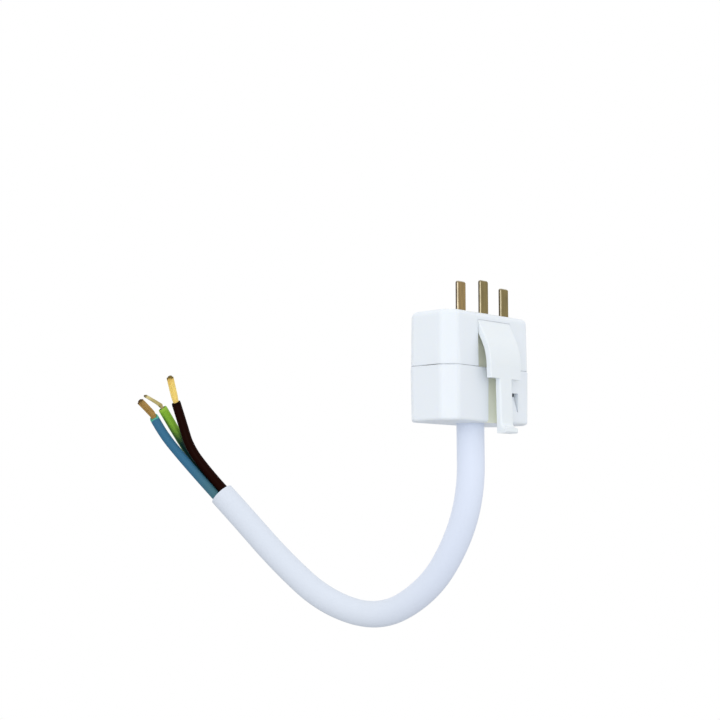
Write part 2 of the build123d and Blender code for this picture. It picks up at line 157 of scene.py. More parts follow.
@dataclass(frozen=True)
class RecessShadeTint:
    """Where the shells are recessed for the latch, and the painted shade that tints them there.

    The recess is wide above the seam at split_z, for the wing, and narrow below it, for the tab.
    """

    # Painted shade: the recess is tinted a pale yellowish tone, lighter towards the top.
    top_shade_colour: str = "#FAFBE6"
    bottom_shade_colour: str = "#EDF0DE"
    middle_x: float = 0.4 * MM
    half_width: float = 7.45 * MM
    tab_half_width: float = 3.2 * MM
    top_z: float = -3.2 * MM
    split_z: float = -15.6 * MM
    split_blur: float = 0.02 * MM
    bottom_z: float = -31.1 * MM
    rim_y: float = -8.75 * MM
    deep_y: float = -8.1 * MM
    behind_y: float = -6.8 * MM

    def share(self, add: Adder, place: Mapping) -> Node:
        """Adds how far a point lies in the recess.

        Args:
            add: Adds a node to the tree.
            place: The sockets X, Y and Z of the point's place.

        Returns:
            A node that gives 0 outside and 1 deep in the recess.
        """
        from_middle = add("ShaderNodeMath", (place["X"], self.middle_x), operation="SUBTRACT")
        sideways = add("ShaderNodeMath", (from_middle,), operation="ABSOLUTE")
        below_split, above_split = self.split_z - self.split_blur, self.split_z + self.split_blur
        half = add(
            "ShaderNodeMapRange",
            (place["Z"], below_split, above_split, self.tab_half_width, self.half_width),
        )
        deep = add("ShaderNodeMapRange", (place["Y"], self.rim_y, self.deep_y, 0.0, 1.0))
        share = deep
        for low, high in ((sideways, half), (place["Y"], self.behind_y), (place["Z"], self.top_z)):
            within = add("ShaderNodeMath", (low, high), operation="LESS_THAN")
            share = add("ShaderNodeMath", (share, within), operation="MULTIPLY")
        return share


@dataclass(frozen=True)
class MouldedPlastic:
    """Injection moulded white plastic with a finely grained surface.

    Light goes a little way into it, which softens its edges. On the shells, a broken dark line of
    painted shade runs along the seam between the two mouldings, where the gap between them lies
    in shade.
    """

    name: str
    colour: str
    recess: RecessShadeTint | None = None
    # The colour of the painted shade along the seam.
    seam_shade_colour: str = "#5E605A"
    seam_half_height: float = 0.11 * MM
    gape_size: float = 6 * MM
    gape_noise: Limits = (0.4, 0.58)
    shut_share: float = 0.2
    roughness: float = 0.34
    roughness_spread: float = 0.04
    dull_patch_size: float = 18 * MM
    specular: float = 0.3
    glow: float = 0.1
    glow_reach: Point = (2.4 * MM, 2.2 * MM, 1.6 * MM)
    # A mould's own grain is about 0.1 mm. It is drawn coarser, so that the render shows it.
    grain_size: float = 0.35 * MM
    grain_depth: float = 0.01 * MM
    grain_strength: float = 0.12

    def material(self) -> Material:
        """Builds the plastic.

        Returns:
            The material.
        """
        material, add = blank_material(self.name)
        place = add("ShaderNodeTexCoord").outputs["Object"]
        grain = add("ShaderNodeTexNoise", {"Vector": place, "Scale": 1 / self.grain_size})
        bump = add(
            "ShaderNodeBump",
            {"Height": grain, "Strength": self.grain_strength, "Distance": self.grain_depth},
        )
        patches = add("ShaderNodeTexNoise", {"Vector": place, "Scale": 1 / self.dull_patch_size})
        least, most = self.roughness - self.roughness_spread, self.roughness + self.roughness_spread
        shader = add(
            "ShaderNodeBsdfPrincipled",
            {
                "Base Color": self.with_painted_shade(add, place) if self.recess else linear(self.colour),
                "Roughness": add(
                    "ShaderNodeMapRange", (patches, NOISE_LOW, NOISE_HIGH, least, most)
                ),
                "Normal": bump,
                "Subsurface Weight": self.glow,
                "Subsurface Radius": self.glow_reach,
                "Subsurface Scale": 1.0,
                "Specular IOR Level": self.specular,
            },
        )
        add("ShaderNodeOutputMaterial", {"Surface": shader})
        return material

    def with_painted_shade(self, add: Adder, place: Socket) -> Node:
        """Adds the shells' colour, with painted shade: a pale yellowish tone in the recess and a
        dark line along the seam.

        Args:
            add: Adds a node to the tree.
            place: The socket of Object coordinates.

        Returns:
            The node that gives the colour.
        """
        recess = self.recess
        parts = add("ShaderNodeSeparateXYZ", (place,)).outputs
        # Painted shade: the recess takes a pale yellowish tone, lighter towards the top, where
        # shade falls.
        raised = add("ShaderNodeMapRange", (parts["Z"], recess.bottom_z, recess.top_z, 0.0, 1.0))
        recess_shade_tone = add(
            "ShaderNodeMix",
            (raised, linear(recess.bottom_shade_colour), linear(recess.top_shade_colour)),
            data_type="RGBA",
        )
        tone = add(
            "ShaderNodeMix",
            (recess.share(add, parts), linear(self.colour), recess_shade_tone),
            data_type="RGBA",
        )
        # Painted shade: a dark line along the seam, broken by noise, in place of the shade in the
        # gap.
        above = add("ShaderNodeMath", (parts["Z"], recess.split_z), operation="SUBTRACT")
        away = add("ShaderNodeMath", (above,), operation="ABSOLUTE")
        line = add(
            "ShaderNodeMapRange", (away, self.seam_half_height / 2, self.seam_half_height, 1.0, 0.0)
        )
        gapes = add("ShaderNodeTexNoise", {"Vector": place, "Scale": 1 / self.gape_size})
        gaping = add("ShaderNodeMapRange", (gapes, *self.gape_noise, self.shut_share, 1.0))
        seam = add("ShaderNodeMath", (line, gaping), operation="MULTIPLY")
        return add("ShaderNodeMix", (seam, tone, linear(self.seam_shade_colour)), data_type="RGBA")


@dataclass(frozen=True)
class StampedBrass:
    """Rolled brass strip, stamped: khaki faces, a painted dark reflection on the edges and a
    painted highlight on the bevels.
    """

    name: str
    face_colour: str
    edge_shade_and_stain_colour: str
    bevel_highlight_colour: str
    # How squarely a face turns to an axis, from where it starts to count as facing it.
    facing: Limits = (0.8, 0.95)
    stain_noise: Limits = (0.35, 0.75)
    stain_share: float = 0.35
    roughness: float = 0.3
    smoother: float = 0.06
    rougher: float = 0.08
    # Real rolling marks are about 0.05 mm apart. They are drawn at 0.45 mm, so that they show.
    marks_per_mm: float = 2.2
    marks_stretch: float = 0.12
    marks_detail: float = 3.0
    marks_depth: float = 0.02 * MM
    marks_strength: float = 0.06

    def material(self) -> Material:
        """Builds the brass.

        Returns:
            The material.
        """
        material, add = blank_material(self.name)
        marks = self.rolling_marks(add)
        # Random stains take the edge colour, which is also the painted dark reflection on the
        # edges.
        stained = add("ShaderNodeMapRange", (marks, *self.stain_noise, 0.0, self.stain_share))
        tone = add(
            "ShaderNodeMix",
            (stained, self.painted_light_by_facing(add), linear(self.edge_shade_and_stain_colour)),
            data_type="RGBA",
        )
        least, most = self.roughness - self.smoother, self.roughness + self.rougher
        bump = add(
            "ShaderNodeBump",
            {"Height": marks, "Strength": self.marks_strength, "Distance": self.marks_depth},
        )
        shader = add(
            "ShaderNodeBsdfPrincipled",
            {
                "Base Color": tone,
                "Metallic": 1.0,
                "Roughness": add("ShaderNodeMapRange", (marks, NOISE_LOW, NOISE_HIGH, least, most)),
                "Normal": bump,
            },
        )
        add("ShaderNodeOutputMaterial", {"Surface": shader})
        return material

    def painted_light_by_facing(self, add: Adder) -> Node:
        """Adds the clean metal's colour: khaki faces, a painted dark reflection on the edges and a
        painted highlight on the bevels.

        Args:
            add: Adds a node to the tree.

        Returns:
            The node that gives the colour.
        """
        # Painted light: the colour goes by which way a face turns, dark on the edges for a painted
        # reflection and bright on the bevels for a painted highlight.
        shape = add("ShaderNodeNewGeometry").outputs["True Normal"]
        turned = add("ShaderNodeVectorMath", (shape,), operation="ABSOLUTE")
        parts = add("ShaderNodeSeparateXYZ", (turned,)).outputs
        tone: Node | tuple = linear(self.bevel_highlight_colour)
        for axis, colour in (("Y", self.face_colour), ("X", self.edge_shade_and_stain_colour)):
            squarely = add("ShaderNodeMapRange", (parts[axis], *self.facing, 0.0, 1.0))
            tone = add("ShaderNodeMix", (squarely, tone, linear(colour)), data_type="RGBA")
        return tone

    def rolling_marks(self, add: Adder) -> Node:
        """Adds noise drawn out along Z, the way that the strip was rolled.

        Args:
            add: Adds a node to the tree.

        Returns:
            The noise node.
        """
        place = add("ShaderNodeTexCoord").outputs["Object"]
        drawn_out = (1 / MM, 1 / MM, self.marks_stretch / MM)
        stretched = add("ShaderNodeMapping", {"Vector": place, "Scale": drawn_out})
        return add(
            "ShaderNodeTexNoise",
            {"Vector": stretched, "Scale": self.marks_per_mm, "Detail": self.marks_detail},
        )


@dataclass(frozen=True)
class DrawnMetal:
    """A turned, plated or drawn metal, mottled where it is worn.

    A bundle of strands turns darker towards its cut tip as well, from tip_starts of the way along
    each strand.
    """

    name: str
    colour: str
    worn_colour: str
    roughness: float
    mottle_size: float
    mottle_noise: Limits = (NOISE_LOW, NOISE_HIGH)
    smoother: float = 0.05
    rougher: float = 0.08
    tip_colour: str = ""
    tip_starts: float = 0.92
    tip_full: float = 0.99

    def material(self) -> Material:
        """Builds the metal.

        Returns:
            The material.
        """
        material, add = blank_material(self.name)
        place = add("ShaderNodeTexCoord").outputs["Object"]
        mottle = add(
            "ShaderNodeTexNoise", {"Vector": place, "Scale": 1 / self.mottle_size, "Detail": 1.0}
        )
        worn = add("ShaderNodeMapRange", (mottle, *self.mottle_noise, 0.0, 1.0))
        tone = add(
            "ShaderNodeMix", (worn, linear(self.colour), linear(self.worn_colour)), data_type="RGBA"
        )
        if self.tip_colour:
            along = add("ShaderNodeAttribute", attribute_name=ALONG_STRAND)
            at_tip = add(
                "ShaderNodeMapRange",
                (along.outputs["Fac"], self.tip_starts, self.tip_full, 0.0, 1.0),
            )
            tone = add("ShaderNodeMix", (at_tip, tone, linear(self.tip_colour)), data_type="RGBA")
        least, most = self.roughness - self.smoother, self.roughness + self.rougher
        rough = add("ShaderNodeMapRange", (mottle, NOISE_LOW, NOISE_HIGH, least, most))
        shader = add(
            "ShaderNodeBsdfPrincipled", {"Base Color": tone, "Metallic": 1.0, "Roughness": rough}
        )
        add("ShaderNodeOutputMaterial", {"Surface": shader})
        return material


@dataclass(frozen=True)
class ExtrudedPvc:
    """Soft extruded insulation, with a second colour on its cut faces and an optional stripe.

    A second colour fades in along Y, between two given heights. The crease colour is painted
    shade, dark where other cores lie close.
    """

    name: str
    colour: str
    cut_colour: str
    stripe_colour: str = ""
    stripe_share: float = 0.4
    stripe_blur: float = 0.01
    graded_colour: str = ""
    grade_from_y: float = 0.0
    grade_to_y: float = 30 * MM
    crease_shade_colour: str = ""
    crease_reach: float = 4 * MM
    crease_light: Limits = (0.5, 0.7)
    crease_samples: int = 32
    roughness: float = 0.4
    cut_roughness: float = 0.6
    smoother: float = 0.04
    rougher: float = 0.06
    shine: float = 0.4
    ripple_size: float = 1.2 * MM
    ripple_depth: float = 0.02 * MM
    ripple_strength: float = 0.15

    def material(self) -> Material:
        """Builds the insulation.

        Returns:
            The material.
        """
        material, add = blank_material(self.name)
        place = add("ShaderNodeTexCoord").outputs["Object"]
        ripple = add("ShaderNodeTexNoise", {"Vector": place, "Scale": 1 / self.ripple_size})
        bump = add(
            "ShaderNodeBump",
            {"Height": ripple, "Strength": self.ripple_strength, "Distance": self.ripple_depth},
        )
        tone: Node | tuple = linear(self.colour)
        if self.stripe_colour:
            tone = self.striped(add, tone)
        if self.graded_colour:
            tone = self.graded_along_y(add, place, tone)
        if self.crease_shade_colour:
            tone = self.painted_crease_shade(add, tone)
        least, most = self.roughness - self.smoother, self.roughness + self.rougher
        shader = add(
            "ShaderNodeBsdfPrincipled",
            {
                "Base Color": tone,
                "Roughness": add(
                    "ShaderNodeMapRange", (ripple, NOISE_LOW, NOISE_HIGH, least, most)
                ),
                "Normal": bump,
                "Specular IOR Level": self.shine,
            },
        )
        add("ShaderNodeOutputMaterial", {"Surface": shader})
        return material

    def striped(self, add: Adder, tone: Node | tuple) -> Node:
        """Adds the stripe. It reads the tube's own map, whose u runs round it.

        Args:
            add: Adds a node to the tree.
            tone: The colour beside the stripe.

        Returns:
            The node that gives the colour.
        """
        around = add("ShaderNodeUVMap", uv_map=TUBE_MAP)
        round_it = add("ShaderNodeSeparateXYZ", (around,)).outputs["X"]
        from_middle = add("ShaderNodeMath", (round_it, 0.5), operation="SUBTRACT")
        away = add("ShaderNodeMath", (from_middle,), operation="ABSOLUTE")
        edge = self.stripe_share / 2
        inside = add(
            "ShaderNodeMapRange", (away, edge - self.stripe_blur, edge + self.stripe_blur, 1.0, 0.0)
        )
        return add("ShaderNodeMix", (inside, tone, linear(self.stripe_colour)), data_type="RGBA")

    def graded_along_y(self, add: Adder, place: Socket, tone: Node | tuple) -> Node:
        """Adds the second colour, which fades in along Y.

        Args:
            add: Adds a node to the tree.
            place: The socket of Object coordinates.
            tone: The colour before the second one fades in.

        Returns:
            The node that gives the colour.
        """
        along = add("ShaderNodeSeparateXYZ", (place,)).outputs["Y"]
        graded_share = add("ShaderNodeMapRange", (along, self.grade_from_y, self.grade_to_y, 0.0, 1.0))
        return add("ShaderNodeMix", (graded_share, tone, linear(self.graded_colour)), data_type="RGBA")

    def painted_crease_shade(self, add: Adder, tone: Node | tuple) -> Node:
        """Adds painted shade, dark where other cores lie close.

        Args:
            add: Adds a node to the tree.
            tone: The colour without the painted shade.

        Returns:
            The node that gives the colour.
        """
        # Painted shade: ambient occlusion turns the colour dark where the cores lie close.
        open_air = add(
            "ShaderNodeAmbientOcclusion",
            {"Distance": self.crease_reach},
            samples=self.crease_samples,
        )
        buried = add("ShaderNodeMapRange", (open_air.outputs["AO"], *self.crease_light, 1.0, 0.0))
        return add("ShaderNodeMix", (buried, tone, linear(self.crease_shade_colour)), data_type="RGBA")

    def cut_material(self) -> Material:
        """Builds the material of the faces that the stripping tool cut.

        Returns:
            The material.
        """
        cut = replace(
            self,
            name=self.name + "_cut_face",
            colour=self.cut_colour,
            stripe_colour="",
            graded_colour="",
            roughness=self.cut_roughness,
        )
        return cut.material()


STRAND_FINISH = {"roughness": 0.65, "mottle_size": 5 * MM, "mottle_noise": (0.35, 0.65)}


class Finishes(Enum):
    """Every finish on the plug."""

    # Moulded polycarbonate, satin and bluish white: its cut corners catch a broad soft light. In
    # the recess it carries a painted pale yellowish shade, and a painted dark line of shade runs
    # along the seam. The lever is a touch duller, and the hidden clamp is matt.
    HOUSING = MouldedPlastic("housing_moulded_white_plastic", "#EAF0F6", RecessShadeTint())
    LATCH = MouldedPlastic("latch_moulded_white_plastic", "#EBF1F5", roughness=0.38)
    CLAMP = MouldedPlastic("cord_clamp_moulded_white_plastic", "#E4E6E6", roughness=0.45)
    # Stamped brass strip, dulled by air: khaki gold, with a painted dark reflection on the sheared
    # edges and a painted highlight along each bevel. Two of the blades have tarnished further, to a
    # greener brown.
    BRASS = StampedBrass("blade_stamped_brass", "#9A8358", "#5A5046", "#B6AA90")
    TARNISHED_BRASS = StampedBrass("blade_stamped_brass_tarnished", "#887A50", "#544C3C", "#AAA084")
    # Zinc plated steel: pale bluish grey, a little blurred.
    STEEL = DrawnMetal("screw_zinc_plated_steel", "#B9BDC2", "#9DA0A3", 0.3, 0.6 * MM)
    # Fine drawn copper strands: many small round highlights that blend into a satin gold. One
    # end is bright, one is bronze and one is pale. Each turns darker towards its tip.
    BRIGHT_STRANDS = DrawnMetal(
        "conductor_drawn_copper_bright", "#EFD986", "#DFBE6E", tip_colour="#6B5A2C", **STRAND_FINISH
    )
    BRONZE_STRANDS = DrawnMetal(
        "conductor_drawn_copper_bronze", "#C4A466", "#AF9057", tip_colour="#5E4A30", **STRAND_FINISH
    )
    PALE_STRANDS = DrawnMetal(
        "conductor_drawn_copper_pale", "#DACF9C", "#C4B882", tip_colour="#7A6A48", **STRAND_FINISH
    )
    # Extruded PVC, lavender white: a soft sheen along it, a little greyer further from the housing.
    SHEATH = ExtrudedPvc(
        "sheath_extruded_white_pvc",
        "#E4ECFC",
        "#D3D9E6",
        graded_colour="#DCE3EE",
        grade_from_y=8 * MM,
        grade_to_y=42 * MM,
        roughness=0.36,
        shine=0.12,
    )
    # Extruded PVC so dark that almost nothing but its outline shows.
    BROWN = ExtrudedPvc("insulation_extruded_brown_pvc", "#1B0501", "#140402", shine=0.03)
    # Extruded PVC, dull petrol blue: greyer teal near the sheath, and fresh turquoise where it is
    # cut.
    BLUE = ExtrudedPvc(
        "insulation_extruded_blue_pvc",
        "#386D8D",
        "#55AE97",
        graded_colour="#487278",
        grade_from_y=96 * MM,
        grade_to_y=87 * MM,
        shine=0.1,
    )
    # Extruded PVC, lime green with a yellow stripe: painted dark shade sits where the cores lie
    # close.
    GREEN_YELLOW = ExtrudedPvc(
        "insulation_extruded_green_yellow_pvc",
        "#84B536",
        "#94C044",
        stripe_colour="#E3CE2E",
        crease_shade_colour="#05302A",
        shine=0.1,
    )


@dataclass
class Tube:
    """A round tube along a line, cut off at its end, with a bore in the cut.

    Its map starts on the side that map_starts_towards gives. The cut leans towards that side by
    cut_lean times the radius, and takes in the last cut_segments of the outside.
    """

    name: str
    line: list[Vector]
    radius: float
    bore: float
    bore_depth: float
    map_starts_towards: Vector
    cut_lean: float = 0.0
    cut_segments: int = 2
    rim_softening: float = 0.06
    sides: int = 32

    def frames(self) -> list[tuple[Vector, Vector, Vector]]:
        """Carries a frame along the line without twisting it.

        Returns:
            The tangent and two directions across it at each point of the line.
        """
        last = len(self.line) - 1
        across = self.map_starts_towards
        found = []
        for i in range(last + 1):
            tangent = (self.line[min(i + 1, last)] - self.line[max(i - 1, 0)]).normalized()
            across = (across - tangent * across.dot(tangent)).normalized()
            found.append((tangent, across, tangent.cross(across)))
        return found

    def rings(self) -> Rings:
        """Lists the rings of the mesh, along the outside and back into the bore.

        Returns:
            The number of each ring's point on the line, and its radius.
        """
        last = len(self.line) - 1
        deep, gone = last, 0.0
        while deep > 1 and gone < self.bore_depth:
            gone += (self.line[deep] - self.line[deep - 1]).length
            deep -= 1
        outside = [(i, self.radius) for i in range(last)]
        rim = (last, self.radius - self.rim_softening * self.radius)
        return [*outside, rim, (last, self.bore), (deep, self.bore)]

    def vertices(self, rings: Rings) -> list[Vector]:
        """Places the vertices, with the two middles of the closing faces last.

        Args:
            rings: The point and radius of each ring.

        Returns:
            The places of the vertices.
        """
        frames = self.frames()
        last = len(self.line) - 1
        places = []
        for index, radius in rings:
            tangent, first, second = frames[index]
            lean = self.cut_lean if index == last else 0.0
            for side in range(self.sides):
                angle = 2 * math.pi * side / self.sides
                across = (first * math.cos(angle) + second * math.sin(angle)) * radius
                back = tangent * (lean * math.cos(angle) * radius)
                places.append(self.line[index] + across - back)
        return [*places, self.line[0], self.line[rings[-1][0]]]

    def faces(self, ring_count: int) -> list[tuple[int, ...]]:
        """Joins the rings by squares and closes both ends.

        Args:
            ring_count: How many rings there are.

        Returns:
            The numbers of each face's vertices.
        """
        found: list[tuple[int, ...]] = []
        for ring in range(ring_count - 1):
            for side in range(self.sides):
                a = ring * self.sides + side
                b = ring * self.sides + (side + 1) % self.sides
                found.append((a, b, b + self.sides, a + self.sides))
        start = ring_count * self.sides
        inner = start - self.sides
        for side in range(self.sides):
            following = (side + 1) % self.sides
            found.append((start, following, side))
            found.append((start + 1, inner + side, inner + following))
        return found

    def build(self, outside: Material, cut_face: Material) -> Object:
        """Makes the tube's mesh.

        Args:
            outside: The material of the tube's outside.
            cut_face: The material of its end faces and bore.

        Returns:
            The tube's object, linked to the scene.
        """
        rings = self.rings()
        mesh = bpy.data.meshes.new(self.name)
        mesh.from_pydata([tuple(v) for v in self.vertices(rings)], [], self.faces(len(rings)))
        mesh.materials.append(outside)
        mesh.materials.append(cut_face)
        self.map_faces(mesh, rings)
        mesh.update()
        return placed(self.name, mesh)

    def map_faces(self, mesh: bpy.types.Mesh, rings: Rings) -> None:
        """Gives each face its material and its place on the map.

        Args:
            mesh: The tube's mesh.
            rings: The point and radius of each ring.
        """
        travelled = [0.0]
        for a, b in zip(self.line, self.line[1:]):
            travelled.append(travelled[-1] + (b - a).length)
        chart = mesh.uv_layers.new(name=TUBE_MAP)
        side_faces = (len(rings) - 1) * self.sides
        plain_segments = len(self.line) - 1 - self.cut_segments
        for polygon in mesh.polygons:
            segment, around = divmod(polygon.index, self.sides)
            polygon.use_smooth = polygon.index < side_faces
            polygon.material_index = 0 if segment < plain_segments else 1
            for corner, loop in enumerate(polygon.loop_indices):
                ring = mesh.loops[loop].vertex_index // self.sides
                height = travelled[rings[min(ring, len(rings) - 1)][0]]
                side = around + (1 if corner in (1, 2) else 0)
                chart.data[loop].uv = (side / self.sides, height / MM)


@dataclass
class Route:
    """A smooth line through the air, drawn by given points in millimetres."""

    name: str
    points: Sequence[Point | Vector]
    steps_between: int = 16
    section_steps: int = 8

    def curve(self, bevel: float = 0.0) -> Object:
        """Makes the line as a curve.

        Args:
            bevel: The radius of its round section in metres, or 0 for a bare line.

        Returns:
            The curve's object, linked to the scene.
        """
        data = bpy.data.curves.new(self.name, "CURVE")
        data.dimensions = "3D"
        data.resolution_u = self.steps_between
        spline = data.splines.new("NURBS")
        spline.points.add(len(self.points) - 1)
        for control, point in zip(spline.points, self.points):
            control.co = (*(Vector(point) * MM), 1.0)
        spline.order_u = 3
        spline.use_endpoint_u = True
        spline.use_smooth = True
        data.bevel_depth = bevel
        data.bevel_resolution = self.section_steps
        data.use_fill_caps = bevel > 0
        return placed(self.name, data)

    def line(self) -> list[Vector]:
        """Reads the points that the smooth line passes through.

        Returns:
            The points in metres.
        """
        bare = self.curve()
        mesh = bpy.data.meshes.new_from_object(bare)
        places = [vertex.co.copy() for vertex in mesh.vertices]
        bpy.data.meshes.remove(mesh)
        bpy.data.objects.remove(bare)
        return places


@dataclass
class StrandBundle:
    """A stripped conductor: fine strands pressed into a flat oval, with a lay and a rounded tip.

    The bundle is round_width of its full width where it leaves the core, and has its full width
    from round_part of the way on.
    """

    name: str
    route: Route
    flat_towards: Vector
    strands: int = 30
    # Real strands are 0.25 mm thick. They are drawn thicker, so that 30 leave no gaps.
    strand_diameter: float = 0.38 * MM
    strand_sides: int = 8
    points_along: int = 26
    width: float = 2.5 * MM
    thickness: float = 1.25 * MM
    round_width: float = 0.68
    round_part: float = 0.3
    turns: float = 0.1
    tip_taper: float = 0.07
    ragged_tip: float = 0.03
    seed: int = 7

    def inputs(self, material: Material) -> dict[str, tuple[str, object]]:
        """Lists what the node tree is given.

        Args:
            material: The metal of the strands.

        Returns:
            The socket type and the value of each input by name.
        """
        return {
            "Strands": ("Int", self.strands),
            "Points Along": ("Int", self.points_along),
            "Strand Sides": ("Int", self.strand_sides),
            "Strand Radius": ("Float", self.strand_diameter / 2),
            "Half Width": ("Float", (self.width - self.strand_diameter) / 2),
            "Half Thickness": ("Float", (self.thickness - self.strand_diameter) / 2),
            "Round Width": ("Float", self.round_width),
            "Round Part": ("Float", self.round_part),
            "Turns": ("Float", self.turns),
            "Tip Taper": ("Float", self.tip_taper),
            "Ragged Tip": ("Float", self.ragged_tip),
            "Flat Side Faces": ("Vector", tuple(self.flat_towards)),
            "Seed": ("Int", self.seed),
            "Material": ("Material", material),
        }

    def tree(self, inputs: dict[str, tuple[str, object]]) -> bpy.types.GeometryNodeTree:
        """Builds the node tree that lays the strands along the line.

        Args:
            inputs: The socket type and value of each input by name.

        Returns:
            The node tree.
        """
        tree = bpy.data.node_groups.new("strand_bundle", "GeometryNodeTree")
        for name, kind in [("Geometry", "Geometry")] + [(n, k) for n, (k, _) in inputs.items()]:
            tree.interface.new_socket(name, in_out="INPUT", socket_type="NodeSocket" + kind)
        tree.interface.new_socket("Geometry", in_out="OUTPUT", socket_type="NodeSocketGeometry")
        add = partial(add_node, tree)
        given = add("NodeGroupInput").outputs
        even = add(
            "GeometryNodeResampleCurve",
            {"Curve": given["Geometry"], "Count": given["Points Along"]},
        )
        copies = add(
            "GeometryNodeDuplicateElements",
            {"Geometry": even, "Amount": given["Strands"]},
            domain="SPLINE",
        )
        number = copies.outputs["Duplicate Index"]
        placed = add("ShaderNodeMath", (number, 0.5), operation="ADD")
        filled = add("ShaderNodeMath", (placed, given["Strands"]), operation="DIVIDE")
        trimmed = add(
            "GeometryNodeTrimCurve",
            {"Curve": copies, "End": self.strand_end(add, given, number, filled)},
        )
        progress = add("GeometryNodeSplineParameter").outputs["Factor"]
        laid = add(
            "GeometryNodeSetPosition",
            {"Geometry": trimmed, "Offset": self.offset(add, given, number, filled, progress)},
        )
        marked = add(
            "GeometryNodeStoreNamedAttribute",
            {"Geometry": laid, "Name": ALONG_STRAND, "Value": progress},
            data_type="FLOAT",
            domain="POINT",
        )
        section = add(
            "GeometryNodeCurvePrimitiveCircle",
            {"Resolution": given["Strand Sides"], "Radius": given["Strand Radius"]},
        )
        solid = add(
            "GeometryNodeCurveToMesh",
            {"Curve": marked, "Profile Curve": section, "Fill Caps": True},
        )
        real = add("GeometryNodeRealizeInstances", {"Geometry": solid})
        dressed = add("GeometryNodeSetMaterial", {"Geometry": real, "Material": given["Material"]})
        add("NodeGroupOutput", {"Geometry": dressed})
        return tree

    def strand_end(self, add: Adder, given: Mapping, number: Socket, filled: Node) -> Node:
        """Adds how far along the line each strand reaches: the outer ones end first.

        Args:
            add: Adds a node to the tree.
            given: The tree's inputs.
            number: The strand's number.
            filled: The share of the strands that lie further in.

        Returns:
            The node that gives the share of the line.
        """
        uneven = add(
            "FunctionNodeRandomValue",
            {"Min": 0.0, "Max": given["Ragged Tip"], "ID": number, "Seed": given["Seed"]},
            data_type="FLOAT",
        )
        taper = add("ShaderNodeMath", (filled, given["Tip Taper"]), operation="MULTIPLY")
        shortening = add("ShaderNodeMath", (taper, uneven), operation="ADD")
        return add("ShaderNodeMath", (1.0, shortening), operation="SUBTRACT")

    def offset(
        self, add: Adder, given: Mapping, number: Socket, filled: Node, progress: Socket
    ) -> Node:
        """Adds how far each strand lies from the line: sunflower places in an oval, with a lay.

        Args:
            add: Adds a node to the tree.
            given: The tree's inputs.
            number: The strand's number.
            filled: The share of the strands that lie further in.
            progress: How far along its strand a point lies.

        Returns:
            The node that gives the offset.
        """
        outward = add("ShaderNodeMath", (filled,), operation="SQRT")
        golden = add("ShaderNodeMath", (number, GOLDEN_ANGLE), operation="MULTIPLY")
        turned = add("ShaderNodeMath", (progress, given["Turns"]), operation="MULTIPLY")
        lay = add("ShaderNodeMath", (turned, 2 * math.pi), operation="MULTIPLY")
        angle = add("ShaderNodeMath", (golden, lay), operation="ADD")
        pressed = add(
            "ShaderNodeMapRange", (progress, 0.0, given["Round Part"], given["Round Width"], 1.0)
        )
        half_width = add("ShaderNodeMath", (given["Half Width"], pressed), operation="MULTIPLY")
        tangent = add("GeometryNodeInputTangent")
        across = add(
            "ShaderNodeVectorMath", (tangent, given["Flat Side Faces"]), operation="CROSS_PRODUCT"
        )
        wide = add("ShaderNodeVectorMath", (across,), operation="NORMALIZE")
        deep = add("ShaderNodeVectorMath", (wide, tangent), operation="CROSS_PRODUCT")
        moves = []
        for direction, wave, reach in (
            (wide, "COSINE", half_width),
            (deep, "SINE", given["Half Thickness"]),
        ):
            swing = add("ShaderNodeMath", (angle,), operation=wave)
            spread = add("ShaderNodeMath", (swing, outward), operation="MULTIPLY")
            far = add("ShaderNodeMath", (spread, reach), operation="MULTIPLY")
            moves.append(add("ShaderNodeVectorMath", (direction, far), operation="SCALE"))
        return add("ShaderNodeVectorMath", moves, operation="ADD")

    def build(self, material: Material) -> Object:
        """Makes the bundle's mesh.

        Args:
            material: The metal of the strands.

        Returns:
            The bundle's object, linked to the scene.
        """
        base = self.route.curve()
        inputs = self.inputs(material)
        modifier = base.modifiers.new("strands", "NODES")
        modifier.node_group = self.tree(inputs)
        for item in modifier.node_group.interface.items_tree:
            if item.in_out == "INPUT" and item.name in inputs:
                modifier[item.identifier] = inputs[item.name][1]
        graph = bpy.context.evaluated_depsgraph_get()
        mesh = bpy.data.meshes.new_from_object(base.evaluated_get(graph), depsgraph=graph)
        for polygon in mesh.polygons:
            polygon.use_smooth = len(polygon.vertices) == 4
        bpy.data.objects.remove(base)
        mesh.name = self.name
        return placed(self.name, mesh)


def dress(node: Object, material: Material) -> None:
    """Gives a solid of the frame its material.

    Args:
        node: The solid's object.
        material: Its material.
    """
    node.data.materials.clear()
    node.data.materials.append(material)
    log.info("dressed %s with %s", node.name, material.name)


@dataclass
class Housing:
    """The two moulded shells."""

    nodes: dict[str, Object]

    def build(self) -> None:
        """Dresses both shells."""
        plastic = Finishes.HOUSING.value.material()
        for name in ("base_shell", "cover_shell"):
            dress(self.nodes[name], plastic)


@dataclass
class Latch:
    """The latch lever on the broad side."""

    nodes: dict[str, Object]

    def build(self) -> None:
        """Dresses the lever."""
        dress(self.nodes["latch_lever"], Finishes.LATCH.value.material())


@dataclass
class Contacts:
    """The three blades, and all the screws and washers."""

    nodes: dict[str, Object]

    def build(self) -> None:
        """Dresses the blades, screws and washers."""
        brass = Finishes.BRASS.value.material()
        tarnished = Finishes.TARNISHED_BRASS.value.material()
        steel = Finishes.STEEL.value.material()
        for name, metal in (
            ("blade_live", brass),
            ("blade_earth", tarnished),
            ("blade_neutral", tarnished),
        ):
            dress(self.nodes[name], metal)
        for name in ("terminal_screws", "terminal_washers", "cord_clamp_screws"):
            dress(self.nodes[name], steel)


@dataclass
class CordGrip:
    """The bar that clamps the cord inside the housing."""

    nodes: dict[str, Object]

    def build(self) -> None:
        """Dresses the bar."""
        dress(self.nodes["cord_clamp_bar"], Finishes.CLAMP.value.material())


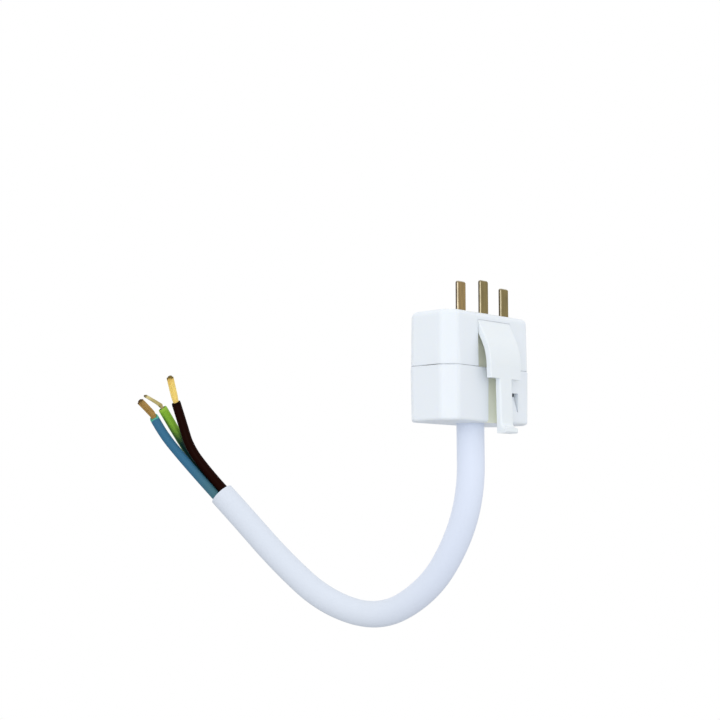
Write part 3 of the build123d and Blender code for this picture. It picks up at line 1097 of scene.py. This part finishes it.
@dataclass
class CoreEnd:
    """One core past the sheath's cut end, with its stripped conductor.

    The turn is its place round the cord in degrees. The length straight on from the sheath, the
    route and the tip are in millimetres, as a Route's points are.
    """

    colour: str
    inner_node: str
    finish: Finishes
    strands: Finishes
    turn: float
    straight: float
    route: Sequence[Point]
    tip: Point
    flat_towards: Vector
    strands_width: float = 2.5 * MM
    strands_thickness: float = 1.25 * MM
    cut_lean: float = 0.4


@dataclass
class Cord:
    """The white sheathed cord with its three cores.

    The places in route, core_circle and strand_lead are in millimetres, as a Route's points are.
    The cores' turns are counted from the side of the cord that lies towards far_side.
    """

    nodes: dict[str, Object]
    diameter: float = 8.0 * MM
    length: float = 154.6 * MM
    core_diameter: float = 3.0 * MM
    conductor_bore: float = 2.0 * MM
    bore_depth: float = 1.2 * MM
    core_circle: float = 1.8
    strand_lead: float = 1.6
    exit_point: Point = (0.0, 0.0, -31.1 * MM)
    far_side: Point = (0.719, 0.687, 0.107)
    route: Sequence[Point] = (
        (0.0, 0.0, -18.8),
        (0.0, 0.0, -34.0),
        (0.8, 0.5, -50.0),
        (3.3, 7.5, -64.5),
        (5.7, 20.6, -79.2),
        (4.6, 39.3, -88.9),
        (-2.4, 56.2, -84.2),
        (-8.2, 70.6, -71.5),
        (-14.2, 82.4, -57.6),
        (-17.4, 88.5, -50.6),
    )

    def core_ends(self) -> list[CoreEnd]:
        """Lists the three cores as they leave the sheath.

        Returns:
            The cores' ends, from brown to green and yellow.
        """
        broadside = -Vector(self.far_side)
        edgeways = Vector((0.52, -0.43, -0.74))
        return [
            CoreEnd(
                colour="brown",
                inner_node="lead_live",
                finish=Finishes.BROWN,
                strands=Finishes.BRIGHT_STRANDS,
                turn=240.0,
                straight=7.0,
                route=((-24.2, 96.5, -35.9), (-25.6, 98.6, -28.0), (-26.8, 100.7, -21.0)),
                tip=(-28.0, 102.7, -12.2),
                flat_towards=broadside,
            ),
            CoreEnd(
                colour="blue",
                inner_node="lead_neutral",
                finish=Finishes.BLUE,
                strands=Finishes.BRONZE_STRANDS,
                turn=120.0,
                straight=6.0,
                route=((-25.9, 98.6, -38.6), (-29.6, 103.8, -31.1), (-31.4, 106.2, -25.8)),
                tip=(-34.4, 110.3, -20.2),
                flat_towards=broadside,
                cut_lean=0.8,
            ),
            CoreEnd(
                colour="green_yellow",
                inner_node="lead_earth",
                finish=Finishes.GREEN_YELLOW,
                strands=Finishes.PALE_STRANDS,
                turn=0.0,
                straight=8.0,
                route=((-22.2, 99.6, -36.9), (-25.0, 103.6, -29.3), (-27.4, 106.9, -22.6)),
                tip=(-31.1, 111.9, -18.3),
                flat_towards=edgeways,
                strands_width=1.8 * MM,
                strands_thickness=0.85 * MM,
            ),
        ]

    def cut_face(self) -> tuple[Vector, Vector, Vector, Vector]:
        """Finds the sheath's cut end.

        Returns:
            Its middle, the way it faces, and two directions across it.
        """
        end = Vector(self.route[-1])
        out = (end - Vector(self.route[-2])).normalized()
        far_side = Vector(self.far_side)
        behind = (far_side - out * out.dot(far_side)).normalized()
        return end, out, behind, out.cross(behind)

    def build(self) -> None:
        """Builds the sheath, the cores and their stripped ends."""
        sheath = Route("white_cord_sheath", self.route).curve(self.diameter / 2)
        sheath.data.materials.append(Finishes.SHEATH.value.material())
        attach(sheath, "housing")
        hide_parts("cord_sheath")
        log.info("built the sheath, %.1f mm long", self.length / MM)
        for end in self.core_ends():
            plastic = end.finish.value.material()
            copper = end.strands.value.material()
            self.build_core(end, plastic, copper)
            self.dress_inside(end, plastic, copper)

    def build_core(self, end: CoreEnd, plastic: Material, copper: Material) -> None:
        """Builds one core and its stripped conductor.

        Args:
            end: The core's own sizes and route.
            plastic: The insulation's material.
            copper: The conductor's material.
        """
        middle, out, behind, beside = self.cut_face()
        turn = math.radians(end.turn)
        across = behind * (self.core_circle * math.cos(turn))
        start = middle + across + beside * (self.core_circle * math.sin(turn))
        points = [start, start + out * end.straight, *(Vector(p) for p in end.route)]
        line = Route("line_of_core_" + end.colour, points).line()
        tube = Tube(
            end.colour + "_core_insulation",
            line,
            radius=self.core_diameter / 2,
            bore=self.conductor_bore / 2,
            bore_depth=self.bore_depth,
            map_starts_towards=-behind,
            cut_lean=end.cut_lean,
        )
        core = tube.build(plastic, end.finish.value.cut_material())
        bundle = self.build_strands(end, copper)
        for piece, node, slot in (
            (core, "core_" + end.colour, "insulation_" + end.colour),
            (bundle, "wire_end_" + end.colour, "conductor_copper"),
        ):
            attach(piece, "housing")
            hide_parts(node)

    def build_strands(self, end: CoreEnd, copper: Material) -> Object:
        """Builds a core's stripped conductor, which runs straight on out of the core first.

        Args:
            end: The core's own sizes and route.
            copper: The conductor's material.

        Returns:
            The conductor's object.
        """
        stripped = Vector(end.route[-1])
        lead = (stripped - Vector(end.route[-2])).normalized() * self.strand_lead
        points = [stripped - lead / 2, stripped, stripped + lead, Vector(end.tip)]
        strands = StrandBundle(
            end.colour + "_conductor_strands",
            Route("line_of_strands_" + end.colour, points),
            end.flat_towards,
            width=end.strands_width,
            thickness=end.strands_thickness,
        )
        return strands.build(copper)

    def dress_inside(self, end: CoreEnd, plastic: Material, copper: Material) -> None:
        """Dresses the same core inside the housing, and its stripped end there.

        Args:
            end: The core's own names.
            plastic: The insulation's material.
            copper: The conductor's material.
        """
        stripped = end.inner_node.replace("lead_", "lead_end_")
        for name, material, slot in (
            (end.inner_node, plastic, "insulation_" + end.colour),
            (stripped, copper, "conductor_copper"),
        ):
            dress(self.nodes[name], material)


@dataclass
class Studio:
    """The floor, the light and the camera.

    Lengths are in metres, angles in degrees and the lens in millimetres. The floor has its own
    colour out to near_floor from its middle, and is lost in the white from far_floor on.
    """

    camera_place: Point = (-0.31270, -0.25477, -0.05610)
    pitch: float = 6.17
    heading: float = -46.32
    lens: float = 70.0
    sensor_width: float = 36.0
    clip_start: float = 0.01
    floor_z: float = -0.30
    floor_size: float = 8.0
    floor_middle: tuple[float, float] = (0.0, 0.04)
    near_floor: float = 0.45
    far_floor: float = 0.9
    floor_colour: str = "#CACCCF"
    floor_roughness: float = 0.9
    world_strength: float = 0.97
    lamp_place: Point = (-0.80, -0.67, 0.0)
    lamp_aim: Point = (0.0, 0.03, -0.03)
    lamp_size: float = 0.6
    lamp_watts: float = 2.4

    def build(self) -> None:
        """Sets up everything round the object."""
        self.set_world()
        self.set_floor()
        self.set_camera()
        self.set_lamp()
        bpy.context.scene.view_settings.view_transform = "Standard"

    def set_world(self) -> None:
        """Makes the world white to the eye and in reflections, and a soft light for the rest."""
        world = bpy.data.worlds.new("studio_white")
        world.use_nodes = True
        world.node_tree.nodes.clear()
        add = partial(add_node, world.node_tree)
        path = add("ShaderNodeLightPath").outputs
        shown = path["Is Camera Ray"]
        for ray in ("Is Glossy Ray", "Is Transmission Ray"):
            shown = add("ShaderNodeMath", (shown, path[ray]), operation="MAXIMUM")
        strength = add("ShaderNodeMapRange", (shown, 0.0, 1.0, self.world_strength, 1.0))
        light = add("ShaderNodeBackground", {"Color": WHITE, "Strength": strength})
        add("ShaderNodeOutputWorld", {"Surface": light})
        bpy.context.scene.world = world

    def set_floor(self) -> None:
        """Makes the plain floor, which fades into the white behind it."""
        half = self.floor_size / 2
        mesh = bpy.data.meshes.new("floor")
        ends = [(-half, -half), (half, -half), (half, half), (-half, half)]
        mesh.from_pydata([(x, y, self.floor_z) for x, y in ends], [], [(0, 1, 2, 3)])
        material, add = blank_material("studio_floor_paper")
        place = add("ShaderNodeTexCoord").outputs["Object"]
        middle = (*self.floor_middle, self.floor_z)
        centred = add("ShaderNodeVectorMath", (place, middle), operation="SUBTRACT")
        away = add("ShaderNodeVectorMath", (centred,), operation="LENGTH")
        fade = add("ShaderNodeMapRange", (away, self.near_floor, self.far_floor, 0.0, 1.0))
        seen = add("ShaderNodeLightPath").outputs["Is Camera Ray"]
        share = add("ShaderNodeMath", (fade, seen), operation="MULTIPLY")
        paper = add(
            "ShaderNodeBsdfPrincipled",
            {"Base Color": linear(self.floor_colour), "Roughness": self.floor_roughness},
        )
        white = add("ShaderNodeEmission", {"Color": WHITE, "Strength": 1.0})
        mix = add("ShaderNodeMixShader", (share, paper, white))
        add("ShaderNodeOutputMaterial", {"Surface": mix})
        mesh.materials.append(material)
        floor = placed("floor", mesh)

    def set_camera(self) -> None:
        """Places the camera where the photograph was taken from."""
        data = bpy.data.cameras.new("camera")
        data.sensor_width = self.sensor_width
        data.lens = self.lens
        data.clip_start = self.clip_start
        camera = placed("camera", data)
        camera.location = self.camera_place
        upright = 90 + self.pitch
        camera.rotation_euler = (math.radians(upright), 0.0, math.radians(self.heading))
        bpy.context.scene.camera = camera

    def set_lamp(self) -> None:
        """Adds the square soft lamp that faces the plug."""
        data = bpy.data.lights.new("front_softbox", "AREA")
        data.shape = "SQUARE"
        data.size = self.lamp_size
        data.energy = self.lamp_watts
        lamp = placed("front_softbox", data)
        facing = Vector(self.lamp_aim) - Vector(self.lamp_place)
        turn = facing.to_track_quat("-Z", "Y").to_matrix().to_4x4()
        lamp.matrix_world = Matrix.Translation(self.lamp_place) @ turn


def main() -> None:
    """Builds the plug's looks in order."""
    logging.basicConfig(level=logging.INFO, format="%(name)s: %(message)s")
    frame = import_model()
    nodes = frame["nodes"]
    Housing(nodes).build()
    Latch(nodes).build()
    Contacts(nodes).build()
    CordGrip(nodes).build()
    Cord(nodes).build()
    Studio().build()
    bpy.context.view_layer.update()


if __name__ == "__main__":
    main()
